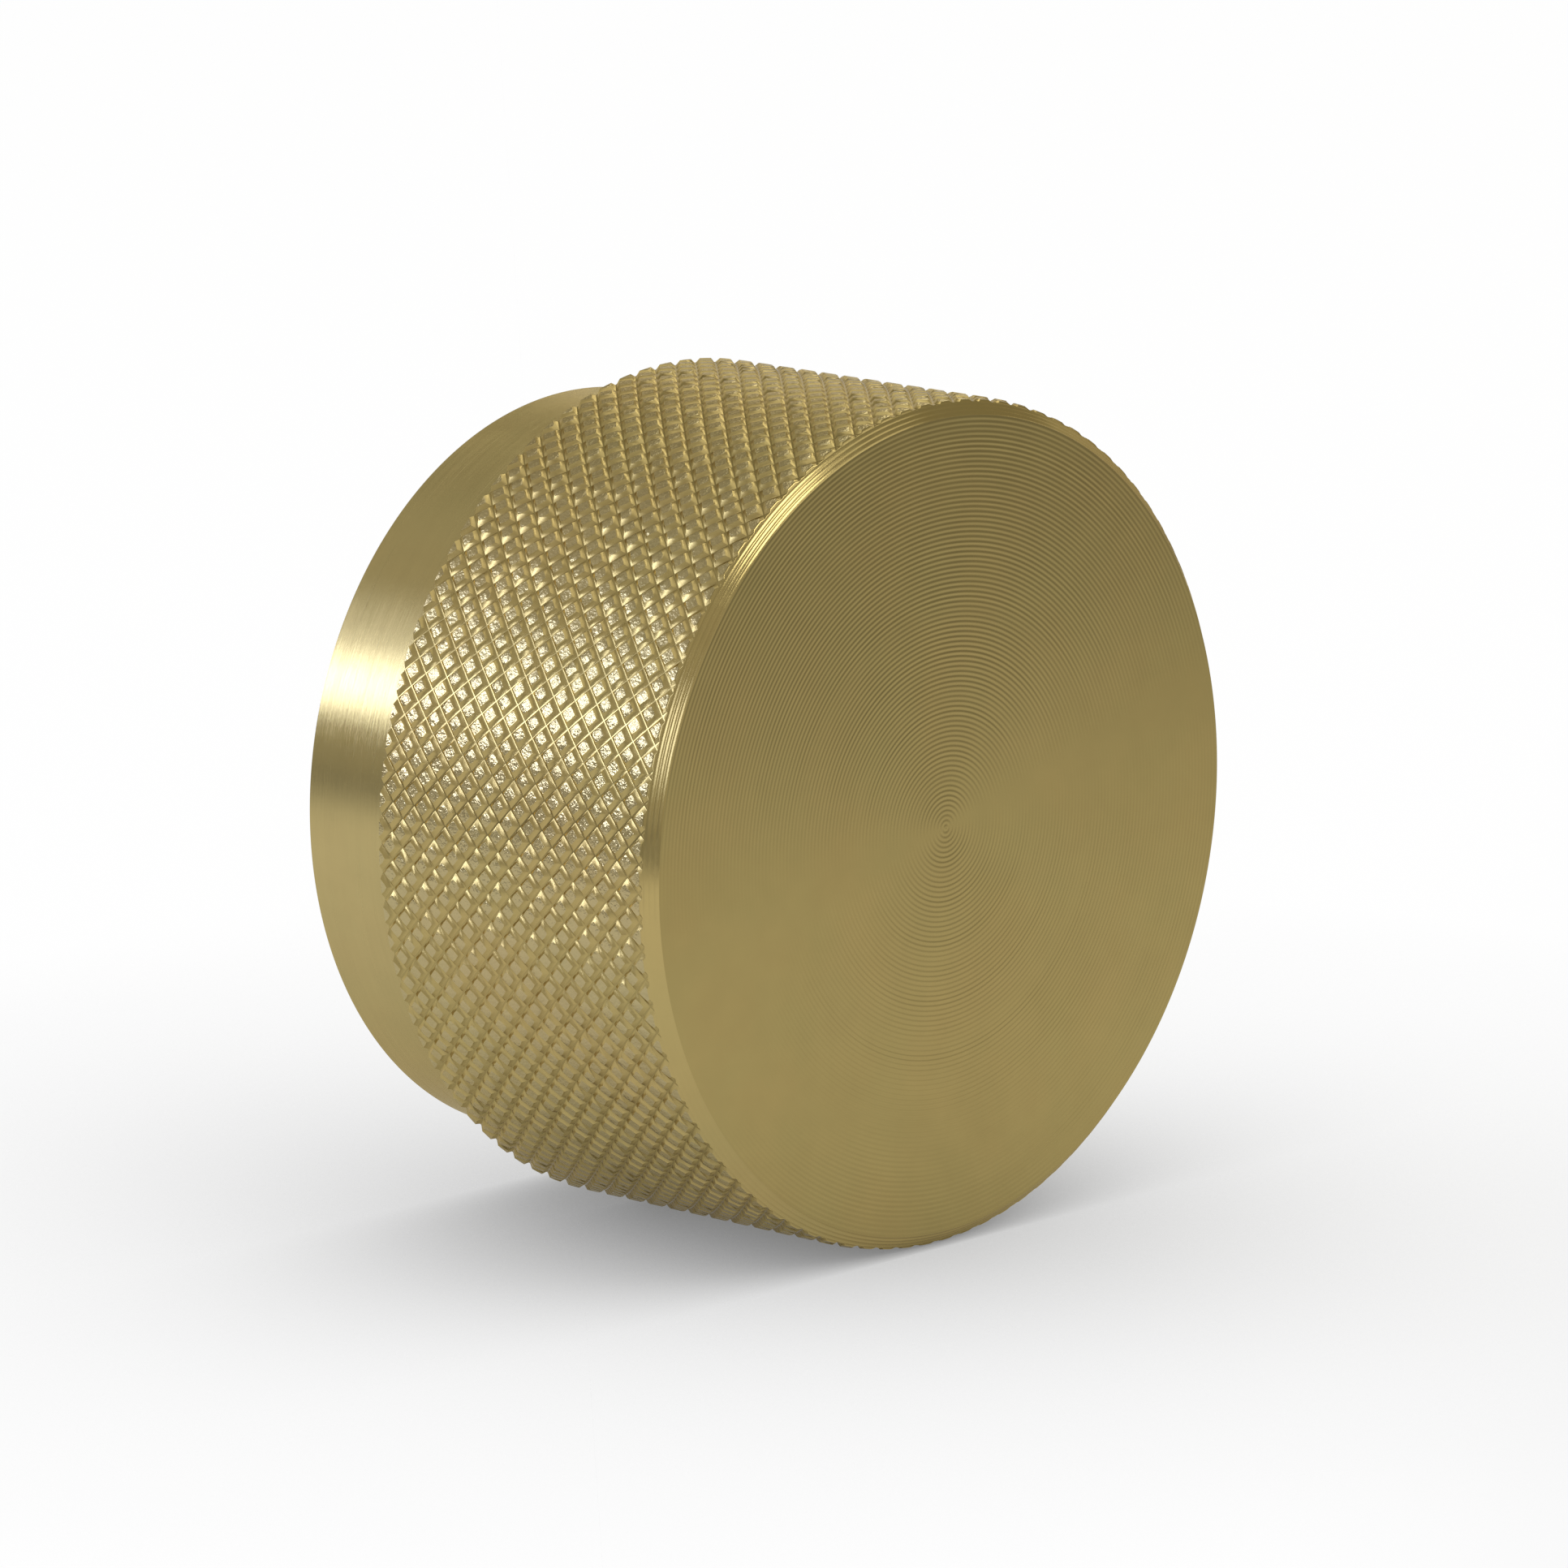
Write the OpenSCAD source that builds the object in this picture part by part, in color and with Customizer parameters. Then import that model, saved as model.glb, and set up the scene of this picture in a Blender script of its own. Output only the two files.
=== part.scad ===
// Cabinet knob turned from one bar: a plain collar, a diamond-knurled grip and a
// chamfered front rim, with a tapped hole for the door screw in its back.
// The axis is horizontal, as on a door: the mounting face lies at Y = 0, the front
// looks along -Y, and the origin is the centre of the mounting face.

/* [Grip] */
// Diameter over the knurl crests
grip_d = 32; // [28:0.5:38]
// Length of the knurl crests, from the shoulder to the front chamfer
grip_length = 13.1; // [9:0.1:16]
// Knurl grooves of each hand, counted once round the grip
knurl_grooves = 92; // [60:2:100]
// Angle between the knurl grooves and the axis, in degrees
knurl_angle = 45; // [40:1:50]
// Depth of the knurl grooves below the crests
knurl_depth = 0.17; // [0.1:0.01:0.3]

/* [Front rim] */
// Size of the chamfer between the grip and the front face, each way
rim_chamfer = 0.6; // [0.5:0.05:1]
// Ridges that the turning tool leaves on the chamfer
rim_ridges = 3; // [1:1:5]
// Depth of the valleys between those ridges
rim_ridge_depth = 0.03; // [0.01:0.01:0.05]

/* [Collar] */
// Height of the shoulder from the collar up to the knurl crests
shoulder_height = 1.7; // [0.8:0.1:4]
// Length of the collar, from the mounting face to the shoulder
collar_length = 5.5; // [3:0.1:8]
// Edge break round the mounting face
collar_edge = 0.15; // [0.1:0.05:0.6]

/* [Screw hole] */
// Diameter of the hole's wall, drilled for an M4 thread
hole_d = 3.3; // [2.5:0.1:5]
// Depth of the hole at full diameter
hole_depth = 12; // [6:0.5:14]
// Chamfer round the hole's mouth, each way
hole_chamfer = 0.4; // [0.2:0.1:1]
// Included angle of the drill's point, in degrees
drill_angle = 118; // [90:1:140]

/* [Hidden] */
$fn = 180;

brass = [0.72, 0.64, 0.42];

// Radii, from the knurl crests inwards
crest_r = grip_d / 2;
root_r = crest_r - knurl_depth;
run_out = 0.03;
rim_r = root_r - run_out;
collar_r = crest_r - shoulder_height;

// Stations along the axis, measured from the mounting face to the front
shoulder_z = collar_length;
crest_end_z = shoulder_z + grip_length;
root_end_z = crest_end_z + knurl_depth;
front_z = crest_end_z + rim_chamfer;

// The knurl is a grid of rows and columns on which groove crossings and pyramid
// tips take turns, so each row is half a diamond high and each column half a
// diamond wide. The row height follows the groove angle, to the nearest whole row.
columns = 2 * round(knurl_grooves);
column_w = PI * grip_d / columns;
rows = max(1, round(grip_length * tan(knurl_angle) / column_w));
row_h = grip_length / rows;

// How far the turned core reaches into the knurled band
core_lap = row_h;
// Small overrun of the cutting tools past a face
overrun = 0.1;

function is_tip(row, column) = (row + column) % 2 == 1;
function knurl_r(row, column) = row <= rows && is_tip(row, column) ? crest_r : root_r;
function knurl_z(row) = row <= rows ? shoulder_z + row * row_h : root_end_z;
function knurl_point(row, column) =
    let (r = knurl_r(row, column), angle = column * 360 / columns)
    [r * cos(angle), r * sin(angle), knurl_z(row)];
function knurl_index(row, column) = row * columns + column % columns;

// A square of the grid is split along its groove. In the last strip, where the
// crests are chamfered away, it is split the other way, from each tip to the root.
function split_from_first(row, column) = (row < rows) != is_tip(row, column);
function knurl_square(row, column) =
    let (
        a = knurl_index(row, column),
        b = knurl_index(row, column + 1),
        c = knurl_index(row + 1, column + 1),
        d = knurl_index(row + 1, column)
    )
    split_from_first(row, column) ? [[a, c, b], [a, d, c]] : [[a, d, b], [b, d, c]];

// Diamond-knurled band, closed by a flat shoulder behind and a flat front end
module knurled_band() {
    last_row = rows + 1;
    grid = [
        for (row = [0:last_row], column = [0:columns - 1]) knurl_point(row, column)
    ];
    back_centre = len(grid);
    front_centre = back_centre + 1;
    centres = [[0, 0, shoulder_z], [0, 0, root_end_z]];
    skin = [
        for (row = [0:rows], column = [0:columns - 1])
            each knurl_square(row, column)
    ];
    back = [
        for (column = [0:columns - 1])
            [back_centre, knurl_index(0, column), knurl_index(0, column + 1)]
    ];
    front = [
        for (column = [0:columns - 1])
            [front_centre, knurl_index(last_row, column + 1), knurl_index(last_row, column)]
    ];
    polyhedron(points = concat(grid, centres), faces = concat(skin, back, front));
}

// Outline of the chamfer's ridges, from the knurl's end to the front face
function rim_outline() =
    let (
        run = front_z - root_end_z,
        pitch = run / rim_ridges,
        valley = rim_ridge_depth / sqrt(2)
    )
    [
        for (ridge = [0:rim_ridges - 1])
            let (start = ridge * pitch, middle = start + pitch / 2)
            each [
                [rim_r - start, root_end_z + start],
                [rim_r - middle - valley, root_end_z + middle - valley]
            ],
        [rim_r - run, front_z]
    ];

// Turned core: collar, inside of the knurled band, rim and front face
module turned_core() {
    outline = concat(
        [
            [0, 0],
            [collar_r - collar_edge, 0],
            [collar_r, collar_edge],
            [collar_r, shoulder_z + core_lap],
            [rim_r, shoulder_z + core_lap]
        ],
        rim_outline(),
        [[0, front_z]]
    );
    rotate_extrude() polygon(outline);
}

// Blind hole with a chamfered mouth and the cone that the drill leaves
module screw_hole() {
    hole_r = hole_d / 2;
    point_h = hole_r / tan(drill_angle / 2);
    mouth_h = hole_chamfer + overrun;
    translate([0, 0, -overrun]) {
        cylinder(h = hole_depth + overrun, r = hole_r);
        cylinder(h = mouth_h, r1 = hole_r + mouth_h, r2 = hole_r);
    }
    translate([0, 0, hole_depth])
        cylinder(h = point_h, r1 = hole_r, r2 = 0);
}

module knob_body() {
    color(brass)
    rotate([90, 0, 0])
    difference() {
        union() {
            turned_core();
            knurled_band();
        }
        screw_hole();
    }
}

knob_body();
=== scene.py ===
"""Looks of the turned brass cabinet knob: detailed mesh, finishes, floor, light and camera."""
import math
import random

import bpy
from mathutils import Matrix, Vector


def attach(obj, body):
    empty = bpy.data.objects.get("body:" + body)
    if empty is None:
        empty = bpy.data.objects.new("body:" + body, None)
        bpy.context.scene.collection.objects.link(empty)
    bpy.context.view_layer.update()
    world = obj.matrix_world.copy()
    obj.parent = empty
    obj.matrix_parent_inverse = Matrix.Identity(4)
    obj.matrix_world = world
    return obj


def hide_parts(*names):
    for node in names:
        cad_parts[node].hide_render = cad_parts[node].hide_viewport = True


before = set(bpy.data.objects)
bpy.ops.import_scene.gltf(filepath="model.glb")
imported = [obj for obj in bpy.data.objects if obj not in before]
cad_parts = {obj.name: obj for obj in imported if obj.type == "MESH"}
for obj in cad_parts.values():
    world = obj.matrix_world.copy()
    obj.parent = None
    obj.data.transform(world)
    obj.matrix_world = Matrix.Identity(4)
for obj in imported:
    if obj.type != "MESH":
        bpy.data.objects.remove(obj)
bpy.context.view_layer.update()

MM = 0.001
TAU = 2 * math.pi

# Sizes of the solid model, in millimetres. Heights run from the mounting face to the front.
GRIP_R = 16.0
COLLAR_R = 14.3
SHOULDER_Z = 5.5
CREST_END_Z = 18.6
FRONT_Z = 19.2
COLLAR_EDGE = 0.15
HOLE_R = 1.65
HOLE_DEPTH = 12.0
HOLE_MOUTH = 0.4
DRILL_HALF_ANGLE = math.radians(59)
# The front chamfer is a cone of 45 degrees, on which radius and height add up to this
CHAMFER_SUM = GRIP_R + CREST_END_Z
FACE_R = CHAMFER_SUM - FRONT_Z

# Knurl: a grid of half diamonds on which groove crossings and diamond tops take turns
GROOVES = 92
COLUMNS = 2 * GROOVES
ROWS = 24
ROW_H = (CREST_END_Z - SHOULDER_Z) / ROWS
# Turn of the grid round the axis, in columns
KNURL_PHASE = 0.18
KNURL_SEED = 7
# A diamond's outlines from its groove to its top: share of the half width, depth below the
# crests. The grooves are rounded, and a little shallower than those of the solid model.
GROOVE_RINGS = ((1.0, 0.155), (0.955, 0.1544), (0.91, 0.1481))
TOP_RINGS = ((0.60, 0.006), (0.57, 0.002))
# The flat tops: how far their corners are cut back and how uneven they are
CORNER_CUT = 0.925
TOP_EDGE_JITTER = 0.04
TOP_HEIGHT_JITTER = 0.008
TOP_MIDDLE_RANGE = (-0.5, 1)
# The tops run down towards the front edge: length of the slope and drop at the chamfer
RUN_DOWN_LENGTH = 0.45
RUN_DOWN_DROP = 0.07

# Front rim: the ridges that the turning tool left on the chamfer, and the steps of the mesh
# along each ridge and along the ends of the knurl's teeth, where the ridges fade in
RIM_START_R = 15.82
RIM_RIDGES = 3
RIDGE_DEPTH = 0.018
RIDGE_STEPS = 7
END_STEPS = 5
RIDGE_FADE = 0.015

# Collar: the fillet at the shoulder, and narrow bands of mesh beside it and the edge break
FILLET = 0.12
FILLET_MIDDLE = 0.035
EDGE_BAND = 0.08

# Thread in the screw hole. A groove's floor and mouth are half widths, in pitches.
THREAD_PITCH = 0.7
THREAD_DEPTH = 0.33
THREAD_FLOOR = 0.15
THREAD_MOUTH = 0.40
THREAD_STEPS = 6
THREAD_FADE = 0.6
HOLE_SEGMENTS = 36

# Rings of the mesh on the flat faces, and the points of a ring
BACK_RING_R = COLLAR_R / 2
SHOULDER_RING_R = GRIP_R - 0.4
FACE_RINGS = (10.0, 5.0, 1.0)
SEGMENTS = 368
# Edges that bend by more than this are shaded as sharp ones
SHARP_ANGLE = math.radians(38)

# Spots of the knurl that agree to this part of a column and row are one point of the mesh
PARTS_PER_CELL = 100000
TINY = 1e-9
ON_RING = 1e-7

GROOVE, FLANK, TOP, RIM, FACE, COLLAR, BACK, BORE = range(8)


class Shell:
    """Points round the knob's axis, as angle, height and radius, and the faces between them."""

    def __init__(self):
        self.points = []
        self.faces = []
        self.finishes = []

    def point(self, angle, height, radius):
        self.points.append((angle, height, radius))
        return len(self.points) - 1

    def face(self, corners, finish):
        self.faces.append(corners)
        self.finishes.append(finish)

    def ring(self, height, radius, count):
        return [self.point(TAU * i / count, height, radius) for i in range(count)]

    def band(self, first, second, finish):
        """Squares between two rings of as many points."""
        count = len(first)
        for i in range(count):
            j = (i + 1) % count
            self.face((first[i], first[j], second[j], second[i]), finish)

    def bridge(self, first, second, finish):
        """Triangles between two rings of any number of points, each in order of angle."""
        turn_a = [self.points[p][0] for p in first]
        turn_b = [self.points[p][0] for p in second]
        turn_a.append(turn_a[0] + TAU)
        turn_b.append(turn_b[0] + TAU)
        i = j = 0
        while i < len(first) or j < len(second):
            a, b = first[i % len(first)], second[j % len(second)]
            if j == len(second) or (i < len(first) and turn_a[i + 1] <= turn_b[j + 1]):
                i += 1
                self.face((a, first[i % len(first)], b), finish)
            else:
                j += 1
                self.face((a, second[j % len(second)], b), finish)

    def fan_out(self, centre, ring, finish):
        for i, p in enumerate(ring):
            self.face((centre, ring[(i + 1) % len(ring)], p), finish)

    def fan_in(self, ring, centre, finish):
        for i, p in enumerate(ring):
            self.face((p, ring[(i + 1) % len(ring)], centre), finish)

    def profile(self, ring, outline, finish):
        """Turns an outline of (height, radius) from the given ring on, and returns the last ring."""
        for height, radius in outline:
            following = self.ring(height, radius, len(ring))
            self.band(ring, following, finish)
            ring = following
        return ring

    def positions(self):
        """The points in metres, with the knob's axis along Y and its front looking along -Y."""
        return [
            (r * math.cos(a) * MM, -h * MM, r * math.sin(a) * MM)
            for a, h, r in self.points
        ]


def clip(polygon, room):
    """The part of a polygon where room() isn't negative."""
    kept = []
    for here, there in zip(polygon, polygon[1:] + polygon[:1]):
        a, b = room(here), room(there)
        if a >= -TINY:
            kept.append(here)
        if a > TINY and b < -TINY or a < -TINY and b > TINY:
            share = a / (a - b)
            kept.append(tuple(h + (t - h) * share for h, t in zip(here, there)))
    return kept if len(kept) > 2 else []


def row_height(row):
    return SHOULDER_Z + row * ROW_H


def behind_chamfer(spot):
    """How far a spot of the knurl lies inside the front chamfer's cone."""
    return CHAMFER_SUM - spot[2] - row_height(spot[1])


def past_shoulder(spot):
    """How many rows a spot of the knurl lies in front of the shoulder."""
    return spot[1]


def diamond(row, column, dice):
    """One knurl diamond as (polygon, finish) pairs, its corners as column, row and radius."""
    corners = ((-1, -1), (1, -1), (1, 1), (-1, 1))
    around = ((-1, -1), (0, -1), (1, -1), (1, 0), (1, 1), (0, 1), (-1, 1), (-1, 0))

    def spot(u, v, reach, drop):
        at_row = row + (u + v) / 2 * reach
        into_slope = (row_height(at_row) - CREST_END_Z) / RUN_DOWN_LENGTH + 1
        drop += RUN_DOWN_DROP * max(0.0, into_slope) * max(0.0, 1 - drop / GROOVE_RINGS[0][1])
        return column + (u - v) / 2 * reach, at_row, GRIP_R - max(0.0, drop)

    faces = []
    grooves = [[spot(u, v, *ring) for u, v in corners] for ring in GROOVE_RINGS]
    for outer, inner in zip(grooves, grooves[1:]):
        for i in range(4):
            faces.append(([outer[i - 1], outer[i], inner[i], inner[i - 1]], GROOVE))

    lift = dice.uniform(-1, 1) * TOP_HEIGHT_JITTER
    edge, top = [], []
    for u, v in around:
        cut = CORNER_CUT if u and v else 1
        cut *= 1 + dice.uniform(-1, 1) * TOP_EDGE_JITTER
        tilt = dice.uniform(-1, 1) * TOP_HEIGHT_JITTER
        (edge_reach, edge_drop), (top_reach, top_drop) = TOP_RINGS
        edge.append(spot(u, v, edge_reach * cut, edge_drop + lift))
        top.append(spot(u, v, top_reach * cut, top_drop + lift + tilt))
    foot = grooves[-1]
    for i in range(4):
        flank = [foot[i - 1], foot[i], edge[2 * i], edge[2 * i - 1], edge[2 * i - 2]]
        faces.append((flank, FLANK))
    for i in range(8):
        faces.append(([edge[i - 1], edge[i], top[i], top[i - 1]], FLANK))
    middle = spot(0, 0, 0, dice.uniform(*TOP_MIDDLE_RANGE) * TOP_HEIGHT_JITTER)
    for i in range(0, 8, 2):
        faces.append(([top[i - 1], top[i], top[i + 1], middle], TOP))
    return faces


def add_knurl(shell):
    """The knurled band. Returns its rear ring at the shoulder and its front ring on the chamfer."""
    dice = random.Random(KNURL_SEED)
    numbers = {}

    def number_of(spot):
        column, row, radius = spot
        key = (
            round(column * PARTS_PER_CELL) % (COLUMNS * PARTS_PER_CELL),
            round(row * PARTS_PER_CELL),
        )
        if key not in numbers:
            angle = (column + KNURL_PHASE) % COLUMNS * TAU / COLUMNS
            numbers[key] = shell.point(angle, row_height(row), radius)
        return numbers[key]

    for row in range(-1, ROWS + 2):
        for column in range(COLUMNS):
            if (row + column) % 2 == 0:
                continue
            for polygon, finish in diamond(row, column, dice):
                if row < 1:
                    polygon = clip(polygon, past_shoulder)
                if row > ROWS - 2 and polygon:
                    polygon = clip(polygon, behind_chamfer)
                corners = list(dict.fromkeys(number_of(s) for s in polygon))
                if len(corners) > 2:
                    shell.face(tuple(corners), finish)

    def ring_where(test):
        used = {p for f in shell.faces for p in f}
        chosen = [p for p in numbers.values() if p in used and test(*shell.points[p])]
        return sorted(chosen, key=lambda p: shell.points[p][0])

    rear = ring_where(lambda a, h, r: abs(h - SHOULDER_Z) < ON_RING)
    front = ring_where(lambda a, h, r: abs(r + h - CHAMFER_SUM) < ON_RING)
    return rear, front


def add_hole(shell):
    """The tapped hole from its drilled point to its mouth. Returns the mouth's ring."""
    tip = shell.point(0, HOLE_DEPTH + HOLE_R / math.tan(DRILL_HALF_ANGLE), 0)
    ring = shell.ring(HOLE_DEPTH, HOLE_R, HOLE_SEGMENTS)
    shell.fan_out(tip, ring, BORE)
    wall = HOLE_DEPTH - HOLE_MOUTH
    steps = round(wall / THREAD_PITCH * THREAD_STEPS)
    for step in range(1, steps + 1):
        height = HOLE_DEPTH - wall * step / steps
        fade = min(1, (HOLE_DEPTH - height) / THREAD_FADE, (height - HOLE_MOUTH) / THREAD_FADE)
        following = []
        for i in range(HOLE_SEGMENTS):
            turn = (height / THREAD_PITCH + i / HOLE_SEGMENTS) % 1
            flank = (THREAD_MOUTH - abs(turn - 0.5)) / (THREAD_MOUTH - THREAD_FLOOR)
            radius = HOLE_R + THREAD_DEPTH * min(1, max(0, flank)) * fade
            following.append(shell.point(TAU * i / HOLE_SEGMENTS, height, radius))
        shell.band(ring, following, BORE)
        ring = following
    return shell.profile(ring, [(0, HOLE_R + HOLE_MOUTH)], BORE)


def ridge_spot(radius, share=1.0):
    """Height and radius of a spot on the chamfer's scalloped ridges, from its radius on the cone."""
    height = CHAMFER_SUM - radius
    across = (RIM_START_R - radius) * RIM_RIDGES / (RIM_START_R - FACE_R) % 1
    sink = RIDGE_DEPTH * (1 - (2 * across - 1) ** 2) * share / math.sqrt(2)
    return height - sink, radius - sink


def add_rim(shell, front):
    """The chamfer from the knurl's front ring to the front face. Returns its last ring."""
    ring = front
    for step in range(1, END_STEPS + 1):
        following = []
        for p in front:
            angle, _, start = shell.points[p]
            radius = start + (RIM_START_R - start) * step / END_STEPS
            share = min(1, (start - radius) / RIDGE_FADE)
            following.append(shell.point(angle, *ridge_spot(radius, share)))
        shell.band(ring, following, RIM)
        ring = following
    rim = shell.ring(*ridge_spot(RIM_START_R), SEGMENTS)
    shell.bridge(ring, rim, RIM)
    count = RIM_RIDGES * RIDGE_STEPS
    radii = [RIM_START_R + (FACE_R - RIM_START_R) * i / count for i in range(1, count + 1)]
    return shell.profile(rim, [ridge_spot(radius) for radius in radii], RIM)


def add_collar(shell, back):
    """The collar and most of the shoulder, from the back's edge on. Returns the last ring."""
    fillet_start = SHOULDER_Z - FILLET
    outline = [
        (COLLAR_EDGE, COLLAR_R),
        (COLLAR_EDGE + EDGE_BAND, COLLAR_R),
        (SHOULDER_Z / 2, COLLAR_R),
        (fillet_start - EDGE_BAND, COLLAR_R),
        (fillet_start, COLLAR_R),
        (SHOULDER_Z - FILLET_MIDDLE, COLLAR_R + FILLET_MIDDLE),
        (SHOULDER_Z, COLLAR_R + FILLET),
        (SHOULDER_Z, SHOULDER_RING_R),
    ]
    return shell.profile(back, outline, COLLAR)


def build_knob(finishes):
    """The whole knob as one closed mesh, from the hole's point round to the front's centre."""
    shell = Shell()
    mouth = add_hole(shell)
    back = shell.ring(0, BACK_RING_R, SEGMENTS)
    shell.bridge(mouth, back, BACK)
    back = shell.profile(back, [(0, COLLAR_R - COLLAR_EDGE)], BACK)
    collar = add_collar(shell, back)
    rear, front = add_knurl(shell)
    shell.bridge(collar, rear, COLLAR)
    rim = add_rim(shell, front)
    face = shell.profile(rim, [(FRONT_Z, radius) for radius in FACE_RINGS], FACE)
    shell.fan_in(face, shell.point(0, FRONT_Z, 0), FACE)

    mesh = bpy.data.meshes.new("knob")
    mesh.from_pydata(shell.positions(), [], shell.faces)
    for material in finishes:
        mesh.materials.append(material)
    mesh.polygons.foreach_set("material_index", shell.finishes)
    mesh.update()
    mesh.set_sharp_from_angle(angle=SHARP_ANGLE)
    piece = bpy.data.objects.new("knob", mesh)
    bpy.context.scene.collection.objects.link(piece)
    return piece


def add(tree, kind, values=(), **settings):
    """A new node with its settings, its inputs set to values or linked to outputs."""
    made = tree.nodes.new(kind)
    for name, value in settings.items():
        setattr(made, name, value)
    for key, value in dict(values).items():
        if isinstance(value, bpy.types.NodeSocket):
            tree.links.new(value, made.inputs[key])
        else:
            made.inputs[key].default_value = value
    return made


def math_node(tree, operation, first, second=0.0):
    return add(tree, "ShaderNodeMath", {0: first, 1: second}, operation=operation).outputs[0]


def vector_math(tree, operation, first, second):
    return add(tree, "ShaderNodeVectorMath", {0: first, 1: second}, operation=operation)


def stretched(tree, coordinates, scale):
    return vector_math(tree, "MULTIPLY", coordinates, scale).outputs[0]


def mix_colours(tree, factor, first, second, blend="MIX"):
    """Two colours mixed. The colour sockets go by number, because their names repeat."""
    values = {"Factor": factor, 6: first, 7: second}
    return add(
        tree, "ShaderNodeMix", values, data_type="RGBA", blend_type=blend
    ).outputs[2]


def noise(tree, coordinates, scale, detail, roughness=0.5):
    return add(
        tree,
        "ShaderNodeTexNoise",
        {"Vector": coordinates, "Scale": scale, "Detail": detail, "Roughness": roughness},
    ).outputs["Fac"]


# Most of a noise lies between these values
NOISE_LOW = 0.3
NOISE_HIGH = 0.7


def ranged(tree, value, low, high, start=NOISE_LOW, end=NOISE_HIGH):
    """A value between start and end brought to the range from low to high."""
    return add(
        tree,
        "ShaderNodeMapRange",
        {"Value": value, "From Min": start, "From Max": end, "To Min": low, "To Max": high},
    ).outputs["Result"]


def emboss(tree, shader, *layers):
    """Relief of one or more patterns, each given with its height in millimetres."""
    normal = None
    for pattern, height in layers:
        values = {"Height": pattern, "Distance": height * MM, "Strength": 1.0}
        if normal is not None:
            values["Normal"] = normal
        normal = add(tree, "ShaderNodeBump", values).outputs["Normal"]
    tree.links.new(normal, shader.inputs["Normal"])


def roughen(tree, shader, pattern, smoothest, roughest):
    """Roughness that drifts with a pattern."""
    tree.links.new(ranged(tree, pattern, smoothest, roughest), shader.inputs["Roughness"])


# Warmer and greener tone of the brass on each kind of surface, and its colour seen aslant
PLAIN_TONES = ((0.445, 0.338, 0.132, 1), (0.430, 0.340, 0.133, 1))
# The collar takes a paler copy of the brass: painted sheen, for whiter reflections.
COLLAR_PAINTED_SHEEN_TONES = ((0.445, 0.352, 0.155, 1), (0.432, 0.354, 0.155, 1))
# The crushed tops take a paler copy of the brass: partly wear, partly painted highlight for whiter
# glints.
TOP_WEAR_AND_HIGHLIGHT_TONES = ((0.436, 0.351, 0.178, 1), (0.420, 0.352, 0.178, 1))
# The turned face and back take a darker copy of the brass: painted shade.
TURNED_PAINTED_SHADE_TONES = ((0.380, 0.287, 0.108, 1), (0.367, 0.289, 0.109, 1))
EDGE_TINT = (0.85, 0.76, 0.58, 1)
# Drift between the tones, per millimetre, and the finer specks of tarnish
DRIFT_SCALE = 0.22
SPECK_SCALE = 3.1
SPECK_DARKEST = 0.975
SPECK_LIGHTEST = 1.02


def new_brass(name):
    """A material with an empty brass shader and its coordinates in millimetres."""
    material = bpy.data.materials.new(name)
    material.use_nodes = True
    tree = material.node_tree
    tree.nodes.clear()
    shader = add(
        tree, "ShaderNodeBsdfPrincipled", {"Metallic": 1.0, "Specular Tint": EDGE_TINT}
    )
    output = add(tree, "ShaderNodeOutputMaterial")
    tree.links.new(shader.outputs[0], output.inputs["Surface"])
    place = add(tree, "ShaderNodeTexCoord").outputs["Object"]
    return material, tree, shader, stretched(tree, place, (1 / MM,) * 3)


def tint(tree, shader, place, tones=PLAIN_TONES, scale=DRIFT_SCALE, lift=0.0):
    """Base colour that drifts between two tones, with faint specks. A negative lift darkens it, as
    painted shade.
    """
    drift = ranged(tree, noise(tree, place, scale, detail=3), 0, 1)
    mixed = mix_colours(tree, drift, *tones)
    specks = noise(tree, place, SPECK_SCALE * scale, detail=4)
    tone = ranged(tree, specks, SPECK_DARKEST + lift, SPECK_LIGHTEST + lift)
    shade = add(tree, "ShaderNodeCombineColor", {0: tone, 1: tone, 2: tone}).outputs[0]
    colour = mix_colours(tree, 1.0, mixed, shade, "MULTIPLY")
    tree.links.new(colour, shader.inputs["Base Color"])


def radius_of(tree, place):
    flat = stretched(tree, place, (1, 0, 1))
    return add(tree, "ShaderNodeVectorMath", {0: flat}, operation="LENGTH").outputs["Value"]


QUARTER_TURN = 0.25


def around_axis(tree, shader, anisotropy):
    """Gloss drawn out across the turning marks, which run round the axis."""
    shader.inputs["Anisotropic"].default_value = anisotropy
    shader.inputs["Anisotropic Rotation"].default_value = QUARTER_TURN
    tangent = add(tree, "ShaderNodeTangent", direction_type="RADIAL", axis="Y")
    tree.links.new(tangent.outputs[0], shader.inputs["Tangent"])


# Turning rings: millimetres from one to the next, how weak and strong they get, and the
# height of the scratches between them against their own
RING_PITCH = 0.186
RING_WEAKEST = 0.55
RING_STRONGEST = 1.2
SCRATCH_SHARE = 0.4


def turned_finish(name, smoothest, roughest, anisotropy, ring_height):
    """Turned face: fine rings round the axis, with finer scratches along them."""
    material, tree, shader, place = new_brass(name)
    # A darker copy of the brass: painted shade on the turned faces.
    tint(tree, shader, place, TURNED_PAINTED_SHADE_TONES)
    radius = radius_of(tree, place)
    rings = math_node(tree, "SINE", math_node(tree, "MULTIPLY", radius, TAU / RING_PITCH))
    at_radius = add(tree, "ShaderNodeCombineXYZ", {0: radius}).outputs[0]
    uneven = noise(tree, at_radius, scale=1.3, detail=2)
    uneven = ranged(tree, uneven, RING_WEAKEST, RING_STRONGEST)
    rings = math_node(tree, "MULTIPLY", rings, uneven)
    scratches = noise(tree, at_radius, scale=23.0, detail=3, roughness=0.7)
    emboss(tree, shader, (rings, ring_height), (scratches, SCRATCH_SHARE * ring_height))
    roughen(tree, shader, noise(tree, place, scale=0.35, detail=4), smoothest, roughest)
    around_axis(tree, shader, anisotropy)
    return material


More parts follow.
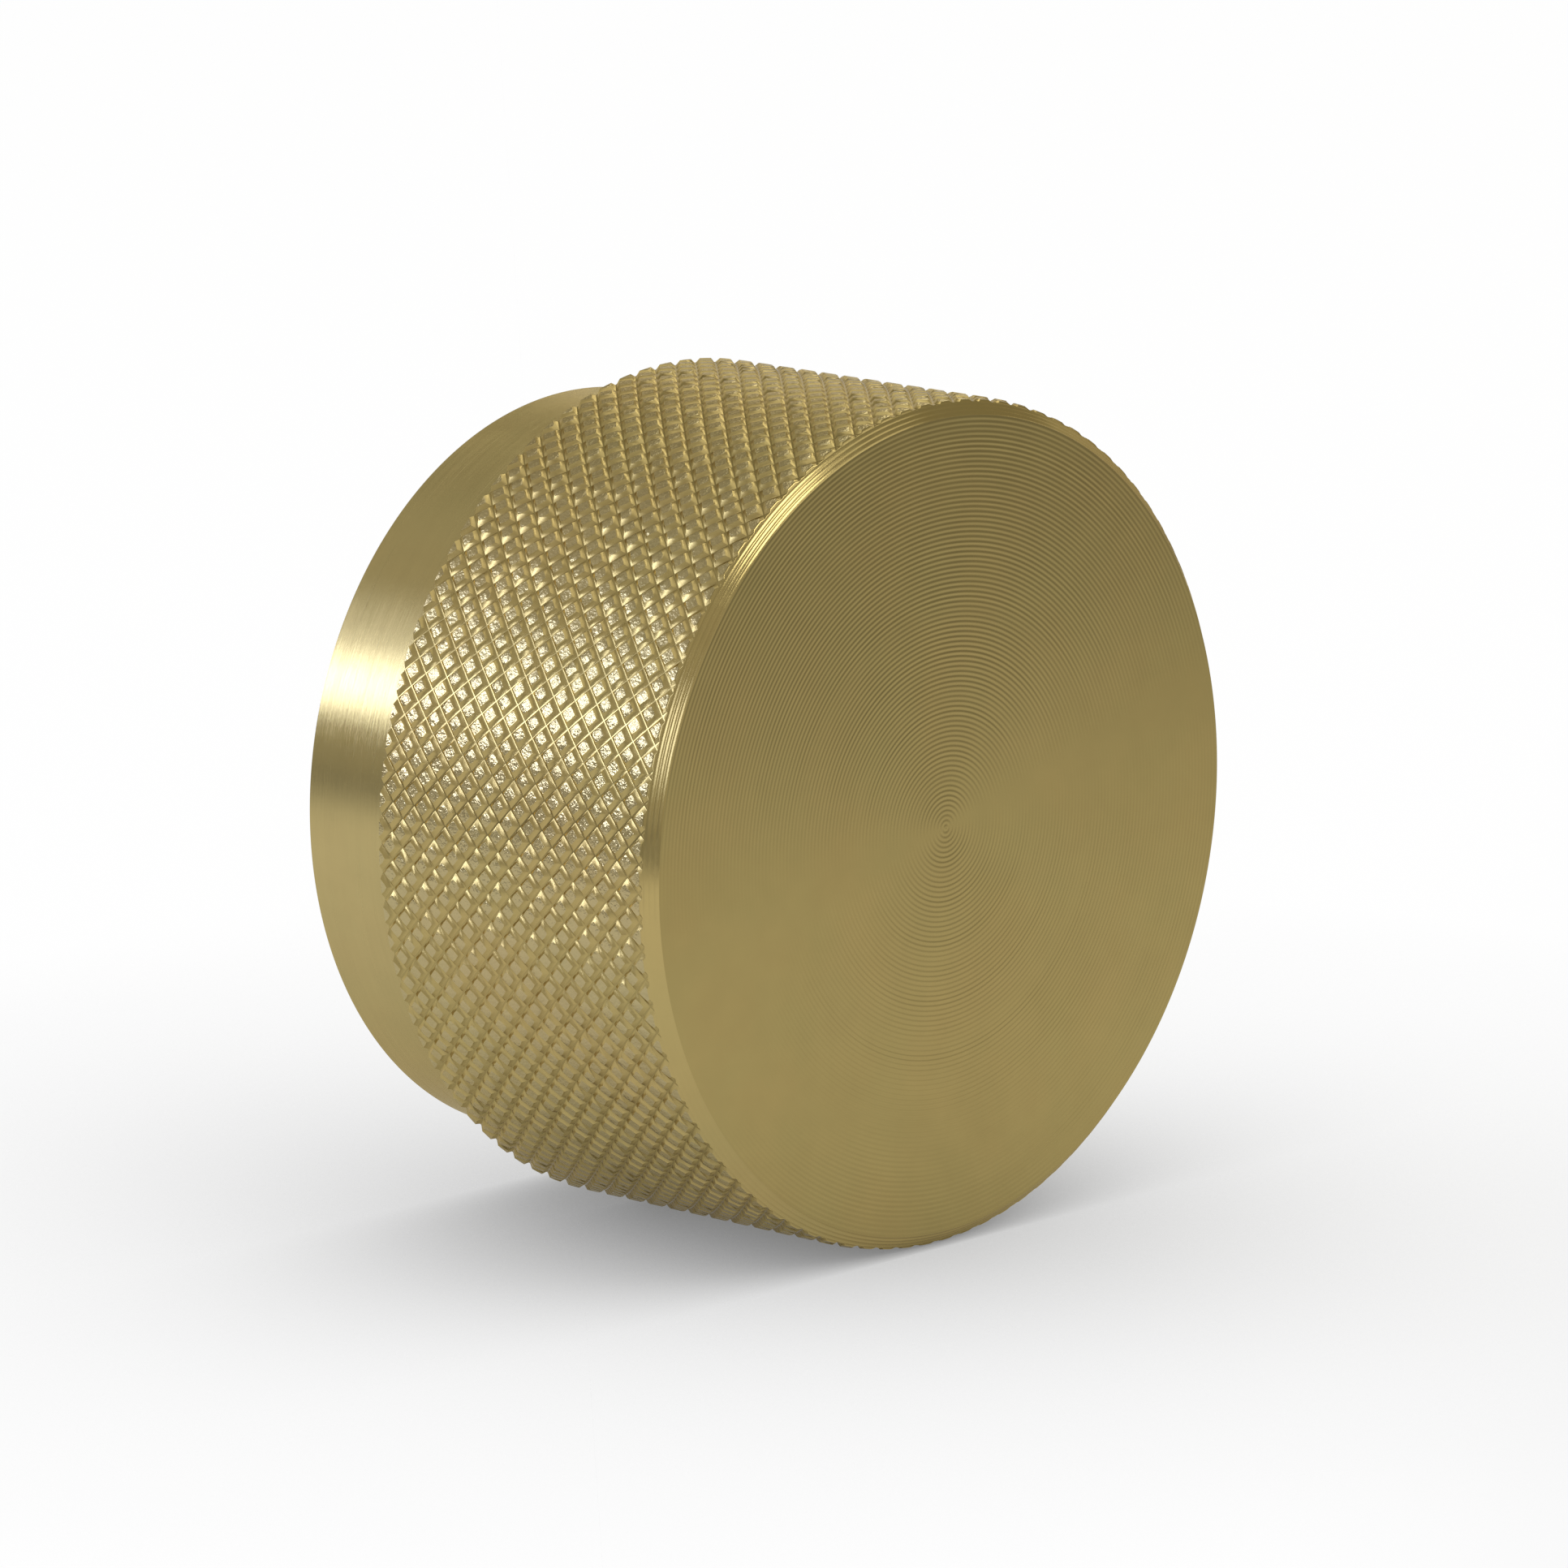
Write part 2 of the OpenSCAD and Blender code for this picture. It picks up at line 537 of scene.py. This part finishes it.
def rim_finish():
    """Chamfer with faint marks that run along its ridges."""
    material, tree, shader, place = new_brass("turned_rim")
    tint(tree, shader, place)
    marks = noise(tree, stretched(tree, place, (0.2, 1, 0.2)), scale=14.0, detail=2)
    emboss(tree, shader, (marks, 0.002))
    roughen(tree, shader, noise(tree, place, scale=1.5, detail=3), 0.16, 0.24)
    around_axis(tree, shader, anisotropy=0.4)
    return material


def collar_finish():
    """Satin collar with fine lines brushed round it."""
    material, tree, shader, place = new_brass("brushed_collar")
    # A paler copy of the brass: painted sheen on the collar.
    tint(tree, shader, place, COLLAR_PAINTED_SHEEN_TONES)
    broad = stretched(tree, place, (0.12, 9.0, 0.12))
    narrow = stretched(tree, place, (0.5, 30.0, 0.5))
    lines = noise(tree, broad, scale=1.0, detail=4, roughness=0.65)
    fine_lines = noise(tree, narrow, scale=1.0, detail=2, roughness=0.6)
    emboss(tree, shader, (lines, 0.010), (fine_lines, 0.004))
    roughen(tree, shader, lines, 0.20, 0.28)
    around_axis(tree, shader, anisotropy=0.9)
    return material


def knurl_finish(name, smoothest, roughest, lift):
    """Flanks or grooves of the knurl, burnished by the wheel that pressed them. Their lift darkens
    their colour as painted shade in the knurl's recesses.
    """
    material, tree, shader, place = new_brass(name)
    tint(tree, shader, place, lift=lift)
    emboss(tree, shader, (noise(tree, place, scale=6.0, detail=3), 0.006))
    roughen(tree, shader, noise(tree, place, scale=2.5, detail=3), smoothest, roughest)
    return material


def top_finish():
    """Crushed tops of the knurl, which sparkle."""
    material, tree, shader, place = new_brass("knurl_tops")
    # A paler copy of the brass: partly wear of the crushed tops, partly painted highlight.
    tint(tree, shader, place, TOP_WEAR_AND_HIGHLIGHT_TONES)
    emboss(tree, shader, (noise(tree, place, scale=8.0, detail=2), 0.034))
    roughen(tree, shader, noise(tree, place, scale=5.0, detail=2), 0.12, 0.22)
    return material


def bore_finish():
    """Thread in the screw hole, a little dull, with its colour darkened as painted shade inside the
    hole.
    """
    material, tree, shader, place = new_brass("tapped_bore")
    tint(tree, shader, place, scale=0.5, lift=-0.1)
    emboss(tree, shader, (noise(tree, place, scale=5.0, detail=3), 0.006))
    roughen(tree, shader, noise(tree, place, scale=2.0, detail=3), 0.3, 0.45)
    return material


# View of the photograph: angles in degrees, lengths in millimetres from the front face's centre
VIEW_AZIMUTH = -47.015
VIEW_ELEVATION = 11.549
VIEW_DISTANCE = 392.4
AIM_RIGHT = -6.0
AIM_UP = 1.62
SENSOR = 36.0
LENS = 243.1
CLIP_START = 0.01


def view_axes():
    """The camera's right, up and backward directions."""
    a, e = math.radians(VIEW_AZIMUTH), math.radians(VIEW_ELEVATION)
    back = Vector((math.sin(a) * math.cos(e), -math.cos(a) * math.cos(e), math.sin(e)))
    right = Vector((math.cos(a), math.sin(a), 0))
    return right, back.cross(right), back


def add_camera():
    right, up, back = view_axes()
    data = bpy.data.cameras.new("camera")
    data.sensor_width = SENSOR
    data.lens = LENS
    data.clip_start = CLIP_START
    camera = bpy.data.objects.new("camera", data)
    aim = Vector((0, -FRONT_Z, 0)) + right * AIM_RIGHT + up * AIM_UP
    turn = Matrix((right, up, back)).transposed().to_4x4()
    camera.matrix_world = Matrix.Translation((aim + back * VIEW_DISTANCE) * MM) @ turn
    bpy.context.scene.collection.objects.link(camera)
    bpy.context.scene.camera = camera


FLOOR_SIZE = 3.0
# How much of the floor's paleness is its own glow, and the soft shade close to the knob, which is
# painted shade: ambient occlusion darkens the glow.
FLOOR_GLOW = 0.92
SHADE_REACH = 0.045
SHADE_SHARE = 0.78
SHADE_SAMPLES = 8
# The floor's paleness by the distance to the right of the knob, in metres. It is greyer far away.
# The quicker greying close to the knob's right is painted shade, standing in for the knob's shadow.
FLOOR_LEFT = -0.4
FLOOR_RIGHT = 0.4
FLOOR_TONES_WITH_PAINTED_SHADE = (
    (-0.36, 0.36),
    (-0.19, 0.50),
    (-0.085, 1.0),
    (0.030, 1.0),
    (0.062, 0.92),
    (0.095, 0.83),
    (0.135, 0.68),
    (0.18, 0.47),
    (0.30, 0.36),
)
FLOOR_FAR = 0.36
# The pale part widens behind the knob, by its own width over this distance, and narrows
# before it to no less than this share
FLOOR_SPREAD = 0.22
SPREAD_LEAST = 0.3
# How far it is pale before and behind the knob
PALE_FRONT = 0.135
PALE_BEHIND = 0.45
PALE_FADE = 0.02


def floor_colour_with_painted_shade(tree):
    """The floor's tones, with painted shade to the knob's right, by its place to the side of the
    knob and before or behind it.
    """
    place = add(tree, "ShaderNodeTexCoord").outputs["Object"]
    right, _, back = view_axes()
    ahead = Vector((-back.x, -back.y, 0)).normalized()
    across = vector_math(tree, "DOT_PRODUCT", place, right).outputs["Value"]
    along = vector_math(tree, "DOT_PRODUCT", place, ahead).outputs["Value"]

    spread = math_node(tree, "ADD", math_node(tree, "DIVIDE", along, FLOOR_SPREAD), 1.0)
    spread = math_node(tree, "MAXIMUM", spread, SPREAD_LEAST)
    side = math_node(tree, "DIVIDE", across, spread)
    side = ranged(tree, side, 0, 1, FLOOR_LEFT, FLOOR_RIGHT)
    ramp = add(tree, "ShaderNodeValToRGB", {"Fac": side})
    ramp.color_ramp.interpolation = "EASE"
    stops = ramp.color_ramp.elements
    while len(stops) < len(FLOOR_TONES_WITH_PAINTED_SHADE):
        stops.new(0.5)
    for stop, (distance, tone) in zip(stops, FLOOR_TONES_WITH_PAINTED_SHADE):
        stop.position = (distance - FLOOR_LEFT) / (FLOOR_RIGHT - FLOOR_LEFT)
        stop.color = (tone, tone, tone, 1)

    half_depth = (PALE_FRONT + PALE_BEHIND) / 2
    from_middle = math_node(tree, "SUBTRACT", along, half_depth - PALE_FRONT)
    from_middle = math_node(tree, "ABSOLUTE", from_middle)
    fade = ranged(tree, from_middle, 0, 1, half_depth - PALE_FADE, half_depth + PALE_FADE)
    return mix_colours(tree, fade, ramp.outputs[0], (FLOOR_FAR, FLOOR_FAR, FLOOR_FAR, 1))


def floor_paper():
    """Pale paper that glows to the camera and in the knob's gloss, with painted shade near the knob
    and greyer painted shade to its right.
    """
    material = bpy.data.materials.new("floor_paper")
    material.use_nodes = True
    tree = material.node_tree
    tree.nodes.clear()
    colour = floor_colour_with_painted_shade(tree)
    paper = add(tree, "ShaderNodeBsdfDiffuse", {"Color": colour}).outputs[0]
    # Ambient occlusion darkens the floor's glow near the knob: painted shade, also seen in the
    # knob's gloss.
    painted_contact_shade = add(
        tree,
        "ShaderNodeAmbientOcclusion",
        {"Color": colour, "Distance": SHADE_REACH},
        samples=SHADE_SAMPLES,
    ).outputs["Color"]
    shaded = mix_colours(tree, SHADE_SHARE, colour, painted_contact_shade)
    glow = add(tree, "ShaderNodeEmission", {"Color": shaded, "Strength": 1.0}).outputs[0]
    path = add(tree, "ShaderNodeLightPath")
    seen = math_node(tree, "ADD", path.outputs["Is Camera Ray"], path.outputs["Is Glossy Ray"])
    seen = math_node(tree, "ADD", seen, path.outputs["Is Transmission Ray"])
    seen = math_node(tree, "MINIMUM", seen, 1.0)
    share = math_node(tree, "MULTIPLY", seen, FLOOR_GLOW)
    mixed = add(tree, "ShaderNodeMixShader", {0: share, 1: paper, 2: glow}).outputs[0]
    add(tree, "ShaderNodeOutputMaterial", {"Surface": mixed})
    return material


def add_floor():
    """Flat floor at the level of the knurl's lowest crests."""
    mesh = bpy.data.meshes.new("floor")
    half = FLOOR_SIZE / 2
    level = -GRIP_R * MM
    sides = ((-half, -half), (half, -half), (half, half), (-half, half))
    mesh.from_pydata([(x, y, level) for x, y in sides], [], [(0, 1, 2, 3)])
    mesh.materials.append(floor_paper())
    floor = bpy.data.objects.new("floor", mesh)
    bpy.context.scene.collection.objects.link(floor)


DAYLIGHT = (0.90, 1.0, 1.42)
WHITE = (1, 1, 1)
# Lamps: name, bearing from +X and elevation in degrees, distance, width and height in metres,
# brightness and colour
LAMPS = (
    ("key", 140, 18.5, 0.60, 0.56, 0.105, 4.3, DAYLIGHT),
    ("veil", 137, 24.5, 0.60, 0.485, 0.233, 1.1, DAYLIGHT),
    ("front", 230, 17.5, 0.60, 0.233, 0.169, 2.6, DAYLIGHT),
    ("left", 194, 32, 0.70, 0.36, 0.62, 0.10, WHITE),
    ("overhead", 272, 54, 0.70, 0.32, 0.26, 4.2, WHITE),
    ("ceiling", 27, 77, 0.70, 0.60, 0.60, 0.65, WHITE),
    ("back", 45, 15, 0.70, 0.60, 0.28, 0.45, WHITE),
    ("glint", 33, 44, 0.70, 0.10, 0.50, 2.2, WHITE),
    ("sky", 112, 43, 0.60, 0.40, 0.14, 0.20, WHITE),
    ("fill", 0, 10, 0.70, 0.50, 0.25, 0.25, WHITE),
)


def add_softbox(name, bearing, elevation, distance, width, height, brightness, colour):
    """A rectangle of soft light that faces the knob."""
    data = bpy.data.lights.new(name, "AREA")
    data.shape = "RECTANGLE"
    data.size, data.size_y = width, height
    # Brightness of the box's own face, so that its power follows from its size
    data.energy = brightness * width * height * math.pi
    data.color = colour
    lamp = bpy.data.objects.new(name, data)
    turn, rise = math.radians(bearing), math.radians(elevation)
    toward = Vector(
        (math.cos(turn) * math.cos(rise), math.sin(turn) * math.cos(rise), math.sin(rise))
    )
    centre = Vector((0, -FRONT_Z / 2 * MM, 0))
    facing = toward.to_track_quat("Z", "Y").to_matrix().to_4x4()
    lamp.matrix_world = Matrix.Translation(centre + toward * distance) @ facing
    bpy.context.scene.collection.objects.link(lamp)


# The room's soft light, dimmer to the knob's right, and where along the way it dims
WORLD_LEFT = (0.56, 0.54, 0.49, 1)
WORLD_RIGHT = (0.40, 0.38, 0.32, 1)
DIM_START = -0.4
DIM_END = 0.7


def add_world():
    world = bpy.data.worlds.new("studio")
    world.use_nodes = True
    tree = world.node_tree
    tree.nodes.clear()
    toward = add(tree, "ShaderNodeTexCoord").outputs["Generated"]
    rightward = add(tree, "ShaderNodeSeparateXYZ", {0: toward}).outputs[0]
    dimness = ranged(tree, rightward, 0, 1, DIM_START, DIM_END)
    colour = mix_colours(tree, dimness, WORLD_LEFT, WORLD_RIGHT)
    ground = add(tree, "ShaderNodeBackground", {"Color": colour, "Strength": 1.0})
    add(tree, "ShaderNodeOutputWorld", {"Surface": ground.outputs[0]})
    bpy.context.scene.world = world


# In the order of the numbers that the mesh's faces carry, GROOVE to BORE
FINISHES = [
    # The grooves' lift darkens them strongly and the flanks' faintly: painted shade in the knurl's
    # recesses.
    knurl_finish("knurl_grooves", smoothest=0.15, roughest=0.22, lift=-0.22),
    knurl_finish("knurl_flanks", smoothest=0.27, roughest=0.37, lift=-0.03),
    top_finish(),
    rim_finish(),
    turned_finish("turned_face", smoothest=0.17, roughest=0.24, anisotropy=0.6, ring_height=0.0031),
    collar_finish(),
    turned_finish("turned_back", smoothest=0.27, roughest=0.34, anisotropy=0.5, ring_height=0.0030),
    bore_finish(),
]
knob = build_knob(FINISHES)
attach(knob, "root")
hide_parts("knob_body")

add_floor()
add_world()
for lamp in LAMPS:
    add_softbox(*lamp)
add_camera()
bpy.context.scene.view_settings.view_transform = "Standard"
